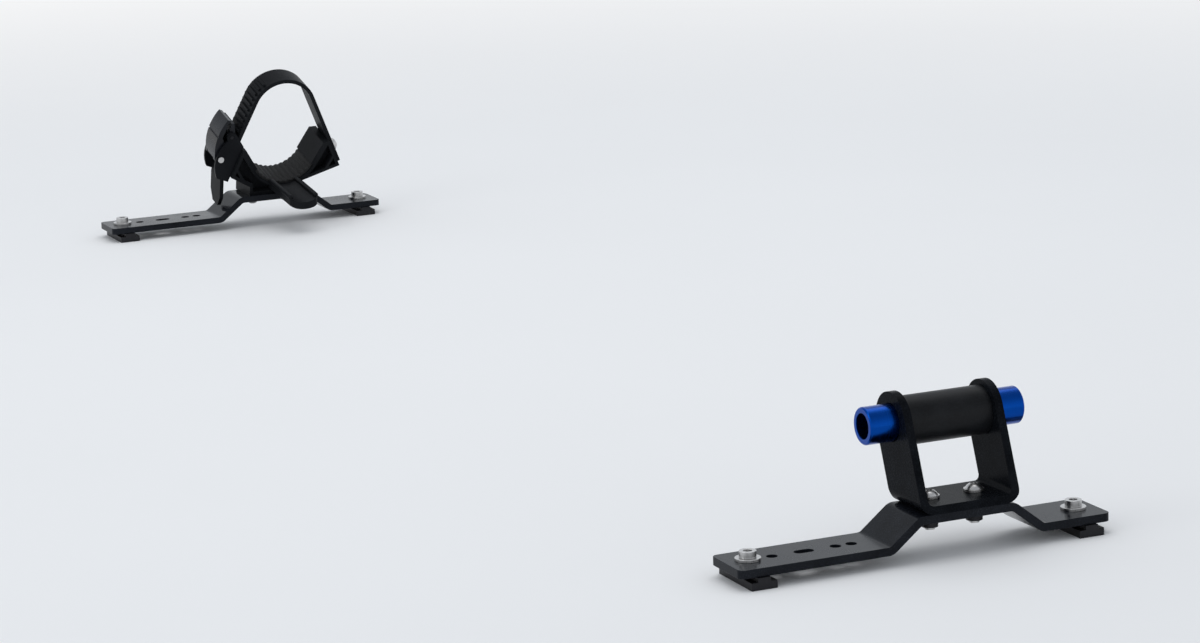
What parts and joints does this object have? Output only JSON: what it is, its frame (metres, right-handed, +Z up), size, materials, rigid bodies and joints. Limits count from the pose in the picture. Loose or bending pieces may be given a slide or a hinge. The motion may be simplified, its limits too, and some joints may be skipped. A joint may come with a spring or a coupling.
{
  "type": "roof mounted bike carrier",
  "caption": "Fork mount with a through-axle sleeve on a raised bent bar, and a matching rear bar with a wheel cradle and ratchet strap, for a platform roof rack.",
  "frame": {"origin": "on the rack's top surface, midway between the two foot bolts of the front bar", "axes": "+X across the vehicle along the fork's axle, towards the side away from the buckle, +Y rearward from the front bar to the rear bar, +Z up"},
  "size_m": [0.238, 1.2385, 0.1317],
  "materials": {
    "powder_coat": "satin black powder coat on steel",
    "housing_coat": "satin black coat on a turned tube",
    "blue_anodised": "blue anodised, lightly turned",
    "ring_rubber": "matt black",
    "stainless": "bright stainless steel",
    "nut_steel": "dark zinc plate",
    "cradle_plastic": "moulded black plastic with a fine grain",
    "pad_rubber": "matt black",
    "insert_brass": "plain",
    "strap_plastic": "satin black flexible plastic",
    "buckle_plastic": "smooth black plastic",
    "pin_steel": "ground steel",
    "spring_steel": "drawn wire"
  },
  "bodies": {
    "front_mount": {"front_base_bar": "powder_coat", "fork_bracket": "powder_coat", "axle_housing": "housing_coat", "fork_bracket_bolts": "stainless", "fork_bracket_washers": "stainless", "fork_bracket_nuts": "stainless", "front_foot_bolts": "stainless", "front_foot_washers": "stainless", "front_channel_nuts": "nut_steel"},
    "axle_sleeve": {"axle_sleeve": "blue_anodised", "sleeve_o_rings": "ring_rubber"},
    "rear_mount": {"rear_base_bar": "powder_coat", "wheel_cradle": "cradle_plastic", "cradle_pad": "pad_rubber", "cradle_inserts": "insert_brass", "cradle_bolts": "stainless", "cradle_washers": "stainless", "rear_foot_bolts": "stainless", "rear_foot_washers": "stainless", "rear_channel_nuts": "nut_steel", "ladder_strap": "strap_plastic", "strap_bolt": "stainless", "strap_washer": "stainless", "strap_insert": "insert_brass", "buckle_frame": "buckle_plastic", "buckle_screws": "stainless", "lever_pin": "pin_steel", "release_pin": "pin_steel"},
    "ratchet_lever": {"ratchet_lever": "buckle_plastic", "pawl_pin": "pin_steel", "pawl_spring": "spring_steel"},
    "drive_pawl": {"drive_pawl": "pin_steel"},
    "release_lever": {"release_lever": "buckle_plastic", "release_spring": "spring_steel"}
  },
  "joints": [
    {"name": "axle_spin", "type": "hinge", "parent": "front_mount", "child": "axle_sleeve", "pos_m": [0.027, 0.01631, 0.0675], "axis": [1, 0, 0], "continuous": true},
    {"name": "rear_mount_slide", "type": "slide", "parent": "front_mount", "child": "rear_mount", "axis": [0, 1, 0], "range_m": [-0.15, 0.15]},
    {"name": "lever_swing", "type": "hinge", "parent": "rear_mount", "child": "ratchet_lever", "pos_m": [-0.02238, 1.18865, 0.0582], "axis": [0, -0.9659, -0.2588], "range_deg": [0, 80]},
    {"name": "pawl_swing", "type": "hinge", "parent": "ratchet_lever", "child": "drive_pawl", "pos_m": [-0.02051, 1.18618, 0.06741], "axis": [0, 0.9659, 0.2588], "range_deg": [0, 10], "stiffness_Nm_per_rad": 0.02, "springref_deg": -20.05},
    {"name": "release_press", "type": "hinge", "parent": "rear_mount", "child": "release_lever", "pos_m": [-0.0128, 1.1838, 0.07631], "axis": [0, 0.9659, 0.2588], "range_deg": [0, 8], "stiffness_Nm_per_rad": 0.05, "springref_deg": -17.19}
  ]
}
